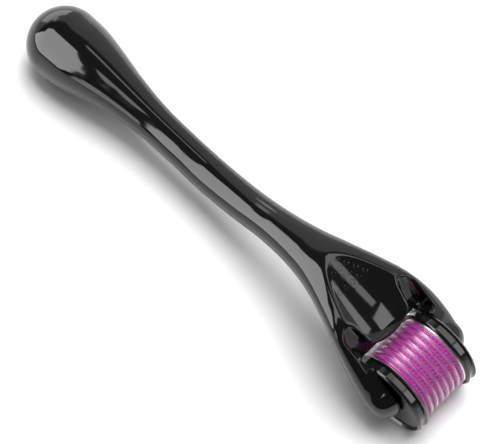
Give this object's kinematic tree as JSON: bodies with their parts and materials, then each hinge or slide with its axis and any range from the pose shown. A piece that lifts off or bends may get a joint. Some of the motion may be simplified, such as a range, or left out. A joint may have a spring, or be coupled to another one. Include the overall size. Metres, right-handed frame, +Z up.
{
  "type": "derma roller",
  "caption": "Hand-held skin roller: a curved black handle with a thumb pad and a fork that holds a free-turning drum of fine steel needles between translucent purple rings.",
  "frame": {"origin": "centre of the bounding box in plan, on the surface it lies on", "axes": "+Z up; -Y towards the needle drum, +Y towards the bulb end; +X along the drum's axle"},
  "size_m": [0.0302, 0.145, 0.0292],
  "materials": {
    "handle_plastic": "high gloss",
    "axle_steel": "ground",
    "core_plastic": "moulded",
    "flange_plastic": "gloss",
    "needle_steel": "stamped",
    "spacer_plastic": "translucent gloss"
  },
  "bodies": {
    "handle": {"handle_upper_shell": "handle_plastic", "handle_lower_shell": "handle_plastic", "axle": "axle_steel"},
    "roller": {"hub_core": "core_plastic", "left_flange": "flange_plastic", "right_flange": "flange_plastic", "needle_plate_1": "needle_steel", "needle_plate_2": "needle_steel", "needle_plate_3": "needle_steel", "needle_plate_4": "needle_steel", "needle_plate_5": "needle_steel", "needle_plate_6": "needle_steel", "needle_plate_7": "needle_steel", "needle_plate_8": "needle_steel", "needle_plate_9": "needle_steel", "spacer_ring_1": "spacer_plastic", "spacer_ring_2": "spacer_plastic", "spacer_ring_3": "spacer_plastic", "spacer_ring_4": "spacer_plastic", "spacer_ring_5": "spacer_plastic", "spacer_ring_6": "spacer_plastic", "spacer_ring_7": "spacer_plastic", "spacer_ring_8": "spacer_plastic"}
  },
  "joints": [
    {"name": "roller_spin", "type": "hinge", "parent": "handle", "child": "roller", "pos_m": [0, -0.06175, 0.01075], "axis": [1, 0, 0], "continuous": true}
  ]
}
